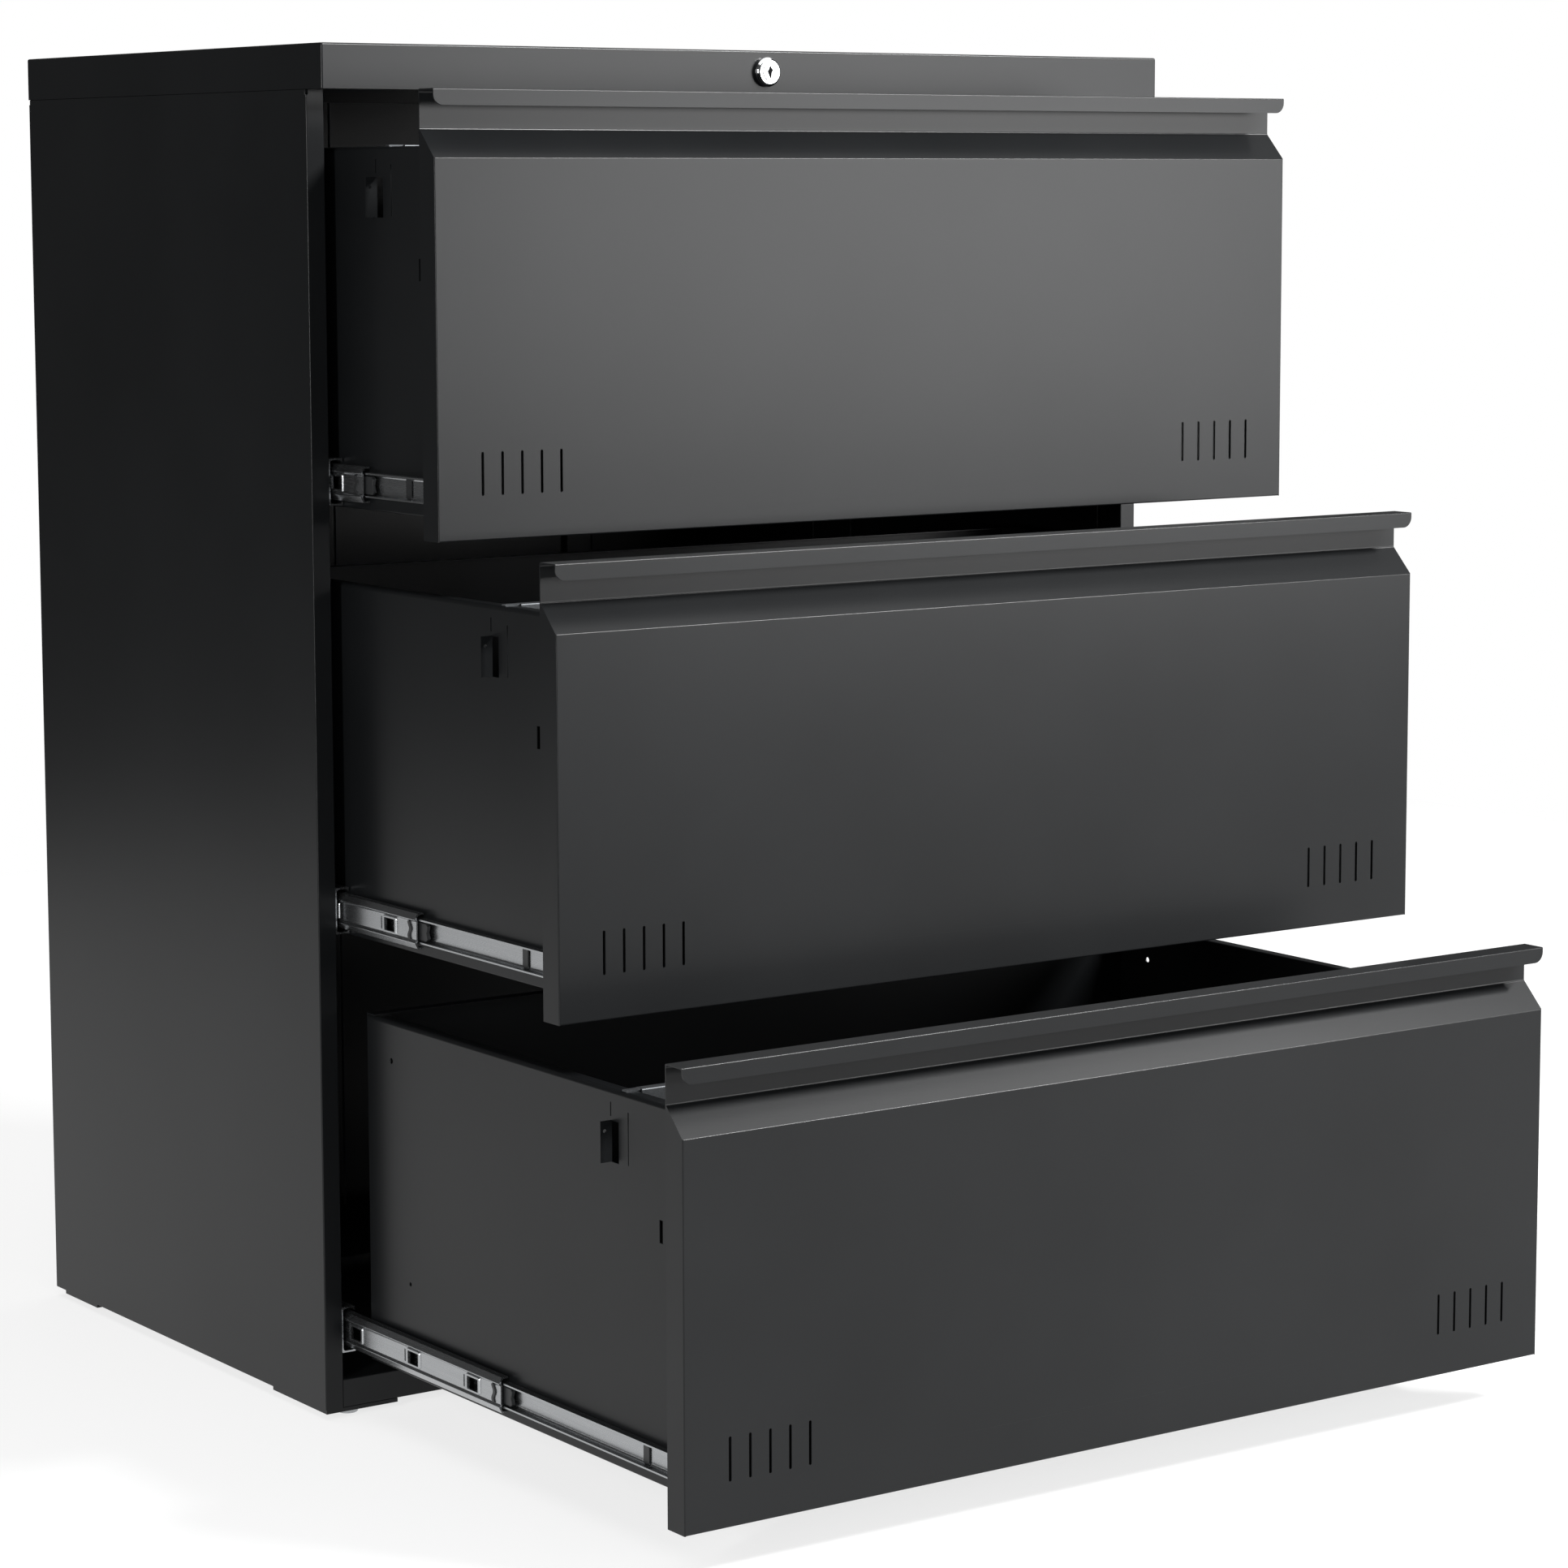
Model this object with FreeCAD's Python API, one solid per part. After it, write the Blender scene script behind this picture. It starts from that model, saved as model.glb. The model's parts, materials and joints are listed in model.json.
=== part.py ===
import FreeCAD, Part
import math
import os

# Three-drawer lateral filing cabinet in folded sheet steel, standing with its drawers pulled out.
# Millimetres. X runs to the right, Y runs from the drawers' side to the back, Z is up from the floor.
# The origin is on the floor, in the middle of the space that the cabinet takes up with its drawers out.
# Each sub-part is written to parts/NODE.step.

Vec = FreeCAD.Vector

# Case.
WIDTH = 784.0
HEIGHT = 1030.0
CASE_DEPTH = 490.0
CAP_HEIGHT = 33.0
CAP_OVERHANG = 23.5
SHEET = 1.0
BEND = 1.0
STILE_WIDTH = 15.0
STILE_RETURN = 13.5
SIDE_BOTTOM = 8.0
SEAM_FLANGE = 6.0
CAP_ROUNDING = 1.6
FLOOR_Z = 30.0
KICK_RETURN = 18.0
FLOOR_SETBACK = 7.0
RAIL_DEPTH = 9.0
RAIL_GAP = 1.0

# Pressed ribs that stiffen the back panel.
BACK_RIB_X = WIDTH / 6
BACK_RIB_HALF = 16.0
BACK_RIB_DEPTH = 4.0

# Counterweight on the case floor.
WEIGHT_REACH = 340.0
WEIGHT_THICKNESS = 14.0
WEIGHT_DEPTH = 166.0
WEIGHT_SETBACK = 14.0
WEIGHT_CHAMFER = 1.0

# Screws and rivets, all with the same low round head.
SCREW_HEAD = 1.5
SCREW_RADIUS = 4.0
RIVET_RADIUS = 4.4
HEAD_ROUNDING = 1.0
SCREW_EDGE = 8.5
SCREW_HEIGHTS = (60.0, 280.0, 500.0, 720.0, 940.0)
RIVET_FROM_FRONT = 48.0
RIVET_FROM_REAR = 62.0

# Upright posts that carry the slides.
POST_DEPTH = 36.0
POST_FROM_FRONT = 30.0
POST_FROM_REAR = 80.0
POST_TOP_GAP = 22.0

# Drawers, top first. An opening is how far a drawer stands out of the case at rest.
DRAWERS = ("top", "middle", "bottom")
OPENING = {"top": 159.0, "middle": 313.0, "bottom": 464.0}
MIDDLE_MEMBER_OUT = {"top": 44.0, "middle": 114.0, "bottom": 225.0}
TOP_LIP_Z = 994.0
PITCH = 321.0
FRONT_HEIGHT = 316.5
FRONT_DEPTH = 20.5
HANDLE_HEIGHT = 48.0
SLANT_RISE = 20.0
LIP_HEIGHT = 11.5
LIP_CORNER = 8.0
FRONT_BENDS = (1.0, 0.8, 1.2, 1.2, 0.8)
CORNER_ROUNDING = 0.9
END_RETURN = 12.0
INNER_FRONT_EDGE = 3.0
INNER_FRONT_RISE = 1.5
INNER_FRONT_TOP = 30.0
BOX_DROP = 39.0
BOX_BOTTOM_RISE = 13.0
BOX_LENGTH = 444.0
BOX_SIDE_X = 363.8

# Drawer sides: flanges, and the details that are measured from the drawer's face and the side's top.
BOTTOM_FLANGE = 14.0
TOP_ROLL_WIDTH = 12.0
TOP_ROLL_DROP = 8.0
TOP_ROLL_BENDS = (1.0, 3.2, 1.6)
FRONT_FLANGE = 13.0
FRONT_FLANGE_RISE = 16.0
FRONT_FLANGE_DROP = 10.0
TAB_FROM_FACE = 131.0
TAB_REACH = 8.5
TAB_TOP = 22.0
TAB_BOTTOM = 51.0
TAB_HOLE_RADIUS = 1.3
TAB_HOLE_REACH = 5.0
TAB_HOLE_TOP = 29.0
TAB_WINDOW = 10.0
HOOK_SLIT_HALF = 0.6
SHORT_SLIT_TOP = 9.0
SHORT_SLIT_BOTTOM = 19.0
LONG_SLIT_AHEAD = 22.0
LONG_SLIT_TOP = 13.0
LONG_SLIT_BOTTOM = 50.0
FRONT_SLOT_FROM_FACE = 69.0
FRONT_SLOT_HALF = 2.0
FRONT_SLOT_TOP = 80.0
FRONT_SLOT_BOTTOM = 96.0
REAR_HOLE_RADIUS = 2.2
REAR_HOLE_FROM_FACE = 431.0
REAR_HOLE_TOP = 30.0
LOW_HOLE_RADIUS = 1.6
LOW_HOLE_FROM_FACE = 407.0
LOW_HOLE_RISE = 70.0

# Drawer floor, back and hanging-folder rail.
FLOOR_RIB_HALF = 14.0
FLOOR_RIB_HEIGHT = 2.5
FLOOR_EDGE_GAP = 3.5
BACK_HOOK = 10.0
BACK_BEND = 0.3
FILE_RAIL_FROM_FACE = 117.0
FILE_RAIL_HALF = 4.5
FILE_RAIL_HEIGHT = 12.0
FILE_RAIL_END_GAP = 14.0
FILE_REST_INSET = 2.0

# Ventilation slots in each drawer front.
VENTS = 5
VENT_PITCH = 16.4
VENT_WIDTH = 2.2
VENT_HEIGHT = 31.0
VENT_EDGE = 36.8
VENT_RISE = 31.5

# Three-member ball-bearing slides.
SLIDE_X = 376.5
SLIDE_RISE = 32.0
SLIDE_LENGTH = 450.0
MIDDLE_LENGTH = 405.0
SLIDE_HEIGHT = 35.0
MIDDLE_HEIGHT = 26.4
INNER_HEIGHT = 18.0
SLIDE_GAUGE = 1.2
SLIDE_SETBACK = 2.0
MEMBER_SETBACK = 3.5
OUTER_LIP = 3.0
OUTER_TIP_GAP = 1.0
OUTER_BENDS = (0.4, 1.0, 1.0, 0.4)
INNER_TIP = 5.9
INNER_BENDS = (0.8, 0.8)
INNER_SHORTER = 6.0
LATCH_FRONT = 59.5
LATCH_LENGTH = 9.0
LATCH_HALF = 6.0
LATCH_WEB_LEFT = 0.4

# Profile of the middle member, out from the case member's web, and the cuts along it.
MIDDLE_WEB = 4.2
MIDDLE_SHOULDER = 2.6
MIDDLE_FLANGE = 5.1
MIDDLE_TIP_GAP = 2.2
MIDDLE_WEB_HALF = 6.9
MIDDLE_SHOULDER_HALF = 8.4
MIDDLE_BENDS = (0.6, 0.8, 0.4, 0.4, 0.8, 0.6)
WINDOWS = 5
FIRST_WINDOW = 38.0
WINDOW_PITCH = 85.0
WINDOW_HALF_LENGTH = 7.5
WINDOW_HALF_HEIGHT = 4.8
SHORT_SLOT_BEHIND = 12.0
SHORT_SLOT_WIDTH = 1.6
SHORT_SLOT_HALF_HEIGHT = 4.6

# Ball retainers.
CAGE_LENGTH = 90.0
CAGE_BALLS = 7
CAGE_GAUGE = 0.3
CAGE_MARGIN = 0.5
CAGE_END_GAP = 6.0
OUTER_BALL_RADIUS = 1.2
INNER_BALL_RADIUS = 1.15
OUTER_BALL_GAP = 5.4
INNER_BALL_GAP = 4.2

# Lock.
LOCK_RIM_RADIUS = 11.4
LOCK_BODY_RADIUS = 9.5
LOCK_PLUG_RADIUS = 6.8
LOCK_FIT = 0.1
LOCK_STANDS_OUT = 5.6
LOCK_RIM_FLAT = 9.0
LOCK_RIM_MID = (10.9, -3.9)
LOCK_RIM_EDGE = 1.6
BARREL_REACH = 9.5
PLUG_REACH = 11.0
PLUG_PROUD = 0.6
PLUG_CHAMFER = 0.6
KEYWAY_DEPTH = 12.0
KEYWAY_HALF_WIDTH = 0.8
KEYWAY_HALF_HEIGHT = 4.6
KEYWAY_WARD_RADIUS = 1.9
KEYWAY_WARD_RISE = 0.6
CAM_RADIUS = 10.0
CAM_GAUGE = 2.0
CAM_HUB_RADIUS = 6.0
CAM_TIP_RADIUS = 4.0
CAM_PIN_RADIUS = 2.0
CAM_PIN_LENGTH = 6.0
CAM_REST_ANGLE = 45.0

# Lock bar, which the cam lifts.
BAR_GAUGE = 2.0
BAR_FROM_STILE = 14.0
BAR_FROM_SIDE = 7.0
BAR_HALF_HEIGHT = 7.0
BAR_ARM_END = 19.0
BAR_SLOT = (4.2, 12.8)
BAR_SLOT_HALF_HEIGHT = 2.6
BAR_STRIP_AHEAD = 30.0
BAR_STRIP_BEHIND = 6.0
BAR_BOTTOM_Z = 40.0
HOOK_TOP = 54.0
HOOK_BOTTOM = 66.0
HOOK_GAP = 3.0

# Levelling feet.
FOOT_X = 365.0
FOOT_INSET = 15.5
FOOT_RADIUS = 8.0
FOOT_THICKNESS = 4.6
FOOT_EDGE = 0.8
FOOT_SHOULDER_Z = 3.0
FOOT_SHOULDER = 2.0
FOOT_FROM_REAR = 24.0
STUD_RADIUS = 4.0
STUD_FIT = 0.1
STUD_TOP_Z = 19.0
BRACKET_GAUGE = 3.0
BRACKET_WIDTH = 62.0
FRONT_BRACKET_LENGTH = 85.0
REAR_BRACKET_LENGTH = 59.0
NUT_RADIUS = 7.5
NUT_HEIGHT = 7.0
FOOT_ACCESS_RADIUS = 9.0

# How far a cutter runs past the face it starts from.
CLEAR = 1.0
# How close two measurements must be to count as the same.
SAME = 0.01

HALF_WIDTH = WIDTH / 2
REAR_Y = (OPENING["bottom"] + CASE_DEPTH) / 2
CAP_FRONT_Y = REAR_Y - CASE_DEPTH
STILE_Y = CAP_FRONT_Y + CAP_OVERHANG
CASE_REAR_Y = REAR_Y - SCREW_HEAD
CAP_BOTTOM_Z = HEIGHT - CAP_HEIGHT
LOCK_Z = CAP_BOTTOM_Z + CAP_HEIGHT / 2
SLIDE_FRONT_Y = STILE_Y + SLIDE_SETBACK


def lip_z(drawer):
    """Height of a drawer front's top."""
    return TOP_LIP_Z - PITCH * DRAWERS.index(drawer)


def front_bottom_z(drawer):
    return lip_z(drawer) - FRONT_HEIGHT


def face_top_z(drawer):
    """Where the flat face ends and the slant of the handle begins."""
    return lip_z(drawer) - HANDLE_HEIGHT


def box_top_z(drawer):
    return lip_z(drawer) - BOX_DROP


def box_bottom_z(drawer):
    return front_bottom_z(drawer) + BOX_BOTTOM_RISE


def face_y(drawer):
    """The plane of a drawer front's face."""
    return CAP_FRONT_Y - OPENING[drawer]


def slide_z(drawer):
    return front_bottom_z(drawer) + SLIDE_RISE


def box(x0, x1, y0, y1, z0, z1):
    """A block between two corners."""
    return Part.makeBox(x1 - x0, y1 - y0, z1 - z0, Vec(x0, y0, z0))


def rod(radius, length, base, axis):
    return Part.makeCylinder(radius, length, base, axis)


def mirrored(shape):
    """The same part for the other side of the cabinet."""
    return shape.mirror(Vec(0, 0, 0), Vec(1, 0, 0))


def shifted(points, gauge):
    """The points moved by the gauge to the right of the path, mitred at each bend."""
    moved = []
    for i, point in enumerate(points):
        normals = []
        for a, b in zip(points[max(i - 1, 0):i + 1], points[max(i, 1):i + 2]):
            run = math.hypot(b[0] - a[0], b[1] - a[1])
            normals.append(((b[1] - a[1]) / run, -(b[0] - a[0]) / run))
        if i == 0 or i == len(points) - 1:
            normals = [normals[0]] * 2
        (ax, ay), (bx, by) = normals
        scale = gauge / (1 + ax * bx + ay * by)
        moved.append((point[0] + (ax + bx) * scale, point[1] + (ay + by) * scale))
    return moved


def bend_radii(points, inner, gauge, outside):
    """The radius of one face of the sheet at each bend: the inner radius, or that plus the gauge."""
    radii = []
    for a, b, c, radius in zip(points, points[1:], points[2:], inner):
        turn = (b[0] - a[0]) * (c[1] - b[1]) - (b[1] - a[1]) * (c[0] - b[0])
        on_inside = (turn < 0) == (not outside)
        radii.append(radius if on_inside else radius + gauge)
    return radii


def rounded_edges(points, radii):
    """Straight edges and arcs through 3-D points, with a radius at each inner point."""
    edges = []
    start = points[0]
    for before, corner, after, radius in zip(points, points[1:], points[2:], radii):
        back = (before - corner).normalize()
        ahead = (after - corner).normalize()
        half_angle = back.getAngle(ahead) / 2
        tangent = radius / math.tan(half_angle)
        enter = corner + back * tangent
        leave = corner + ahead * tangent
        bisector = (back + ahead).normalize()
        middle = corner + bisector * (radius / math.sin(half_angle) - radius)
        if (enter - start).Length > SAME:
            edges.append(Part.LineSegment(start, enter).toShape())
        edges.append(Part.Arc(enter, middle, leave).toShape())
        start = leave
    edges.append(Part.LineSegment(start, points[-1]).toShape())
    return edges


def folded(points, plane, start, end, gauge=SHEET, bends=None):
    """Sheet folded along a path and run from start to end across the plane.

    The path is one face of the sheet, whose gauge lies to the right of it. plane is the pair of axes
    that the path is drawn in, and bends holds the inner radius at each bend.
    """
    across = {"XY": "Z", "XZ": "Y", "YZ": "X"}[plane]
    bends = bends or [BEND] * (len(points) - 2)
    other = shifted(points, gauge)

    def place(flat):
        axes = {plane[0]: flat[0], plane[1]: flat[1], across: start}
        return Vec(axes["X"], axes["Y"], axes["Z"])

    near = rounded_edges([place(p) for p in points], bend_radii(points, bends, gauge, False))
    far = rounded_edges([place(p) for p in other], bend_radii(points, bends, gauge, True))
    cap_a = Part.LineSegment(place(points[0]), place(other[0])).toShape()
    cap_b = Part.LineSegment(place(points[-1]), place(other[-1])).toShape()
    outline = Part.Wire(Part.__sortEdges__(near + [cap_b] + far + [cap_a]))
    run = {"X": Vec(1, 0, 0), "Y": Vec(0, 1, 0), "Z": Vec(0, 0, 1)}[across] * (end - start)
    return Part.Face(outline).extrude(run)


def fused(shapes):
    """One solid from touching pieces."""
    return shapes[0].multiFuse(shapes[1:]).removeSplitter()


def slot_y(x, y0, y1, z0, z1, width):
    """A cutter for an upright slot with round ends, running along Y."""
    radius = width / 2
    middle = box(x - radius, x + radius, y0, y1, z0 + radius, z1 - radius)
    low = rod(radius, y1 - y0, Vec(x, y0, z0 + radius), Vec(0, 1, 0))
    high = rod(radius, y1 - y0, Vec(x, y0, z1 - radius), Vec(0, 1, 0))
    return fused([middle, low, high])


def side_panel():
    """Left side: outer wall with the front stile, the rear flange and a seam flange under the cap."""
    x = -HALF_WIDTH
    inner_x = x + STILE_WIDTH
    path = [(inner_x, STILE_Y + STILE_RETURN), (inner_x, STILE_Y), (x, STILE_Y), (x, CASE_REAR_Y)]
    path.append((inner_x, CASE_REAR_Y))
    lean = CAP_BOTTOM_Z - 2 * (BEND + SHEET)
    wall = folded(path, "XY", SIDE_BOTTOM, lean)
    seam = [(x, lean), (x, CAP_BOTTOM_Z), (x + SEAM_FLANGE, CAP_BOTTOM_Z)]
    flange = folded(seam, "XZ", STILE_Y + 2 * BEND, CASE_REAR_Y - 2 * BEND)
    stile = path[:2] + [(x + 2 * BEND, STILE_Y)]
    stile_top = folded(stile, "XY", lean, CAP_BOTTOM_Z)
    return fused([wall, flange, stile_top])


def back_panel():
    """Flat back inside the side panels' rear flanges, with two pressed upright ribs."""
    y = CASE_REAR_Y - SHEET
    edge = HALF_WIDTH - 3 * SHEET
    path = [(edge, y)]
    for centre in (BACK_RIB_X, -BACK_RIB_X):
        path.append((centre + BACK_RIB_HALF, y))
        path.append((centre + BACK_RIB_HALF - BACK_RIB_DEPTH, y - BACK_RIB_DEPTH))
        path.append((centre - BACK_RIB_HALF + BACK_RIB_DEPTH, y - BACK_RIB_DEPTH))
        path.append((centre - BACK_RIB_HALF, y))
    path.append((-edge, y))
    return folded(path[::-1], "XY", SIDE_BOTTOM + SHEET, CAP_BOTTOM_Z)


def top_cap():
    """The top, a shallow folded lid with an apron all round, seam flanges below and a lock hole."""
    outer = box(-HALF_WIDTH, HALF_WIDTH, CAP_FRONT_Y, REAR_Y, CAP_BOTTOM_Z, HEIGHT)
    kept = [e for e in outer.Edges if e.BoundBox.ZMax > CAP_BOTTOM_Z + CLEAR]
    outer = outer.makeFillet(CAP_ROUNDING, kept)
    inside = box(-HALF_WIDTH + SHEET, HALF_WIDTH - SHEET, CAP_FRONT_Y + SHEET, REAR_Y - SHEET,
                 CAP_BOTTOM_Z + SHEET, HEIGHT - SHEET)
    mouth = box(-HALF_WIDTH + SEAM_FLANGE, HALF_WIDTH - SEAM_FLANGE, STILE_Y - 2 * SHEET,
                REAR_Y - 2 * SEAM_FLANGE, CAP_BOTTOM_Z - CLEAR, CAP_BOTTOM_Z + 2 * SHEET)
    lock_hole = rod(LOCK_BODY_RADIUS, 4 * SHEET, Vec(0, CAP_FRONT_Y - SHEET, LOCK_Z), Vec(0, 1, 0))
    return outer.cut(inside).cut(mouth).cut(lock_hole)


def front_top_rail():
    """Channel across the front under the cap, which the lock body passes through."""
    reach = HALF_WIDTH - STILE_WIDTH
    front = STILE_Y + RAIL_GAP
    rear = front + RAIL_DEPTH
    low = CAP_BOTTOM_Z + RAIL_GAP
    path = [(rear, low), (front, low), (front, HEIGHT - SHEET), (rear, HEIGHT - SHEET)]
    rail = folded(path, "YZ", -reach, reach)
    hole = rod(LOCK_BODY_RADIUS, 4 * SHEET, Vec(0, STILE_Y, LOCK_Z), Vec(0, 1, 0))
    return rail.cut(hole)


def bottom_panel():
    """Floor of the case, folded down in front as the kick and down again at the back."""
    reach = HALF_WIDTH - STILE_WIDTH
    rear = CASE_REAR_Y - FLOOR_SETBACK
    kick_rear = STILE_Y + KICK_RETURN
    path = [(kick_rear, SIDE_BOTTOM), (STILE_Y, SIDE_BOTTOM), (STILE_Y, FLOOR_Z), (rear, FLOOR_Z)]
    path.append((rear, SIDE_BOTTOM + 2 * SHEET))
    pieces = [folded(path, "YZ", -reach, reach)]
    for side in (-1, 1):
        x0, x1 = sorted((side * reach, side * (HALF_WIDTH - SHEET)))
        pieces.append(box(x0, x1, kick_rear, rear - 2 * SHEET, FLOOR_Z - SHEET, FLOOR_Z))
    floor = fused(pieces)
    for x in (-FOOT_X, FOOT_X):
        access = rod(FOOT_ACCESS_RADIUS, 2 * SIDE_BOTTOM, Vec(x, STILE_Y + FOOT_INSET, 0), Vec(0, 0, 1))
        floor = floor.cut(access)
    return floor


def counterweight():
    """Steel slab at the back of the floor, under the bottom drawer, that stops the cabinet tipping."""
    rear = REAR_Y - WEIGHT_SETBACK
    top = FLOOR_Z + WEIGHT_THICKNESS
    slab = box(-WEIGHT_REACH, WEIGHT_REACH, rear - WEIGHT_DEPTH, rear, FLOOR_Z, top)
    return slab.makeChamfer(WEIGHT_CHAMFER, [e for e in slab.Edges if e.BoundBox.ZMin > top - SAME])


def foot_places():
    """Name and centre of each levelling foot."""
    front = STILE_Y + FOOT_INSET
    rear = CASE_REAR_Y - FOOT_FROM_REAR
    return {"front_left": (-FOOT_X, front), "front_right": (FOOT_X, front),
            "rear_left": (-FOOT_X, rear), "rear_right": (FOOT_X, rear)}


def corner_brackets():
    """Four thick plates under the corners, each with a nut for a levelling foot."""
    solids = []
    rear = CASE_REAR_Y - KICK_RETURN + SHEET
    spans = {"front": (STILE_Y, STILE_Y + FRONT_BRACKET_LENGTH), "rear": (rear - REAR_BRACKET_LENGTH, rear)}
    for name, (x, y) in foot_places().items():
        y0, y1 = spans[name.split("_")[0]]
        side = math.copysign(1, x)
        x0, x1 = sorted((side * (HALF_WIDTH - SHEET / 2), side * (HALF_WIDTH - BRACKET_WIDTH)))
        plate = box(x0, x1, y0, y1, SIDE_BOTTOM - BRACKET_GAUGE, SIDE_BOTTOM)
        corners = []
        for i in range(7):
            angle = math.radians(60 * i)
            corner = (x + NUT_RADIUS * math.cos(angle), y + NUT_RADIUS * math.sin(angle), SIDE_BOTTOM)
            corners.append(Vec(*corner))
        nut = Part.Face(Part.makePolygon(corners)).extrude(Vec(0, 0, NUT_HEIGHT))
        hole = rod(STUD_RADIUS + STUD_FIT, STUD_TOP_Z, Vec(x, y, 0), Vec(0, 0, 1))
        solids.append(fused([plate, nut]).cut(hole))
    return Part.makeCompound(solids)


def levelling_foot(x, y):
    """Turned glide with a shouldered base and a stud, whose thread is left out."""
    profile = [(0, 0), (FOOT_RADIUS - FOOT_EDGE, 0), (FOOT_RADIUS, FOOT_EDGE)]
    profile += [(FOOT_RADIUS, FOOT_SHOULDER_Z), (FOOT_RADIUS - FOOT_SHOULDER, FOOT_THICKNESS)]
    profile.append((STUD_RADIUS, FOOT_THICKNESS))
    profile += [(STUD_RADIUS, STUD_TOP_Z), (0, STUD_TOP_Z), (0, 0)]
    outline = Part.makePolygon([Vec(r, 0, z) for r, z in profile])
    turned = Part.Face(outline).revolve(Vec(0, 0, 0), Vec(0, 0, 1), 360)
    turned.translate(Vec(x, y, 0))
    return turned


def slide_posts():
    """Two upright channels on each wall, which carry the slides."""
    solids = []
    wall_x = -HALF_WIDTH + SHEET
    for front in (STILE_Y + POST_FROM_FRONT, CASE_REAR_Y - POST_FROM_REAR):
        rear = front + POST_DEPTH
        path = [(wall_x, rear), (-SLIDE_X, rear), (-SLIDE_X, front), (wall_x, front)]
        solids.append(folded(path, "XY", FLOOR_Z, CAP_BOTTOM_Z - POST_TOP_GAP))
    return Part.makeCompound(solids + [mirrored(post) for post in solids])


def slide_outer(drawer):
    """Case member of a left slide: a channel with short turned-in lips."""
    z = slide_z(drawer)
    half = SLIDE_HEIGHT / 2
    tip_x = -BOX_SIDE_X - OUTER_TIP_GAP
    path = [(tip_x, z - half + OUTER_LIP), (tip_x, z - half), (-SLIDE_X, z - half), (-SLIDE_X, z + half)]
    path += [(tip_x, z + half), (tip_x, z + half - OUTER_LIP)]
    return folded(path, "XZ", SLIDE_FRONT_Y, SLIDE_FRONT_Y + SLIDE_LENGTH, SLIDE_GAUGE, OUTER_BENDS)


def middle_front_y(drawer):
    """Front end of a slide's middle member."""
    return STILE_Y + MEMBER_SETBACK - MIDDLE_MEMBER_OUT[drawer]


def slide_middle(drawer):
    """Middle member of a left slide: a channel with a pressed-in web, windows and short slots."""
    z = slide_z(drawer)
    half = MIDDLE_HEIGHT / 2
    web_x = -SLIDE_X + MIDDLE_WEB
    shoulder_x = -SLIDE_X + MIDDLE_SHOULDER
    flange_x = -SLIDE_X + MIDDLE_FLANGE
    tip_x = -BOX_SIDE_X - MIDDLE_TIP_GAP
    lower = [(tip_x, -half), (flange_x, -half), (shoulder_x, -MIDDLE_SHOULDER_HALF)]
    lower.append((web_x, -MIDDLE_WEB_HALF))
    path = [(x, z + rise) for x, rise in lower] + [(x, z - rise) for x, rise in lower[::-1]]
    front = middle_front_y(drawer)
    member = folded(path, "XZ", front, front + MIDDLE_LENGTH, SLIDE_GAUGE, MIDDLE_BENDS)
    behind_web = web_x + 2 * SLIDE_GAUGE
    cutters = []
    for i in range(WINDOWS):
        y = front + FIRST_WINDOW + i * WINDOW_PITCH
        cutters.append(box(-SLIDE_X, behind_web, y - WINDOW_HALF_LENGTH, y + WINDOW_HALF_LENGTH,
                           z - WINDOW_HALF_HEIGHT, z + WINDOW_HALF_HEIGHT))
        slot = y + SHORT_SLOT_BEHIND
        cutters.append(box(-SLIDE_X, behind_web, slot, slot + SHORT_SLOT_WIDTH,
                           z - SHORT_SLOT_HALF_HEIGHT, z + SHORT_SLOT_HALF_HEIGHT))
    return member.cut(Part.makeCompound(cutters))


def slide_inner(drawer):
    """Drawer member of a left slide: a narrow channel open to the outside, fixed to the drawer's side."""
    z = slide_z(drawer)
    half = INNER_HEIGHT / 2
    tip_x = -SLIDE_X + INNER_TIP
    path = [(tip_x, z + half), (-BOX_SIDE_X, z + half), (-BOX_SIDE_X, z - half), (tip_x, z - half)]
    front = face_y(drawer) + FRONT_DEPTH + SHEET
    member = folded(path, "XZ", front, front + SLIDE_LENGTH - INNER_SHORTER, SLIDE_GAUGE, INNER_BENDS)
    latch_y = front + LATCH_FRONT
    latch = box(tip_x - CLEAR, -BOX_SIDE_X - LATCH_WEB_LEFT, latch_y, latch_y + LATCH_LENGTH,
                z - LATCH_HALF, z + LATCH_HALF)
    return member.cut(latch)


def ball_strip(x, z, front, radius):
    """A retainer strip with bearing balls along it."""
    half = radius + CAGE_MARGIN
    pieces = [box(x - half, x + half, front, front + CAGE_LENGTH, z - CAGE_GAUGE, z + CAGE_GAUGE)]
    for i in range(CAGE_BALLS):
        y = front + CAGE_LENGTH * (i + 0.5) / CAGE_BALLS
        pieces.append(Part.makeSphere(radius, Vec(x, y, z)))
    return fused(pieces)


def ball_cages(drawer):
    """Four retainers for each slide: two in the case member's races and two in the middle member's."""
    z = slide_z(drawer)
    front = middle_front_y(drawer) + CAGE_END_GAP
    rear = middle_front_y(drawer) + MIDDLE_LENGTH - CAGE_END_GAP - CAGE_LENGTH
    outer_race = (SLIDE_HEIGHT / 2 - SLIDE_GAUGE + MIDDLE_HEIGHT / 2) / 2
    inner_race = (MIDDLE_HEIGHT / 2 - SLIDE_GAUGE + INNER_HEIGHT / 2) / 2
    solids = []
    for sign in (-1, 1):
        outer_z = z + sign * outer_race
        inner_z = z + sign * inner_race
        solids.append(ball_strip(-BOX_SIDE_X - OUTER_BALL_GAP, outer_z, rear, OUTER_BALL_RADIUS))
        solids.append(ball_strip(-BOX_SIDE_X - INNER_BALL_GAP, inner_z, front, INNER_BALL_RADIUS))
    left = Part.makeCompound(solids)
    return Part.makeCompound(solids + mirrored(left).Solids)


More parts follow.
